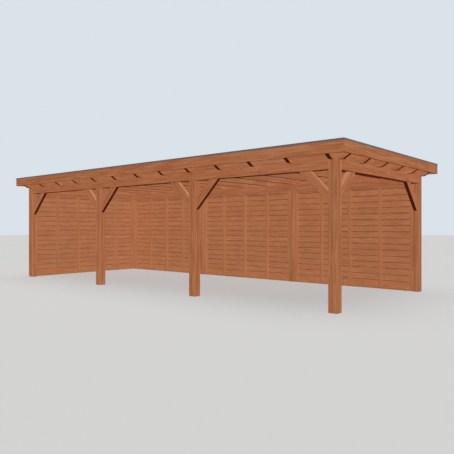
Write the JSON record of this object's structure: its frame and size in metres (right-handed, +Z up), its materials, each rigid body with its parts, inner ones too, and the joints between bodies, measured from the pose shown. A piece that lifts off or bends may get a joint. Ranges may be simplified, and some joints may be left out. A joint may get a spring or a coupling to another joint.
{
  "type": "wooden canopy",
  "caption": "Long open-fronted wooden canopy with a flat roof, braced posts and beams, bevelled joist tails at the eaves, and boarded back and left walls.",
  "frame": {"origin": "on the ground under the middle of the roof", "axes": "+X along the length to the right seen from the open front, +Y to the closed back, +Z up"},
  "size_m": [9.584, 4.084, 2.615],
  "materials": {
    "frame_timber": "stained, matt",
    "roof_timber": "stained, matt",
    "fascia_boards": "stained, matt",
    "roof_boards": "stained, matt",
    "wall_boards": "stained, matt",
    "wall_battens": "stained, matt",
    "roof_sheet": "matt",
    "edge_trim": "dark grey coated"
  },
  "bodies": {
    "root": {"front_post_1": "frame_timber", "front_post_2": "frame_timber", "front_post_3": "frame_timber", "front_post_4": "frame_timber", "back_post_1": "frame_timber", "back_post_2": "frame_timber", "back_post_3": "frame_timber", "back_post_4": "frame_timber", "front_beam": "frame_timber", "back_beam": "frame_timber", "left_beam": "frame_timber", "right_beam": "frame_timber", "front_brace_1": "frame_timber", "front_brace_2": "frame_timber", "front_brace_3": "frame_timber", "front_brace_4": "frame_timber", "front_brace_5": "frame_timber", "front_brace_6": "frame_timber", "right_brace_front": "frame_timber", "right_brace_back": "frame_timber", "roof_joists": "roof_timber", "left_lookouts": "roof_timber", "right_lookouts": "roof_timber", "front_blocking": "roof_timber", "back_blocking": "roof_timber", "front_fascia": "fascia_boards", "back_fascia": "fascia_boards", "left_fascia": "fascia_boards", "right_fascia": "fascia_boards", "roof_deck": "roof_boards", "long_kerbs": "roof_timber", "short_kerbs": "roof_timber", "roof_membrane": "roof_sheet", "front_trim": "edge_trim", "back_trim": "edge_trim", "left_trim": "edge_trim", "right_trim": "edge_trim", "back_cladding_1": "wall_boards", "back_cladding_2": "wall_boards", "back_cladding_3": "wall_boards", "left_cladding": "wall_boards", "back_studs": "wall_battens", "back_rails": "wall_battens", "left_studs": "wall_battens", "left_rails": "wall_battens"}
  },
  "joints": []
}
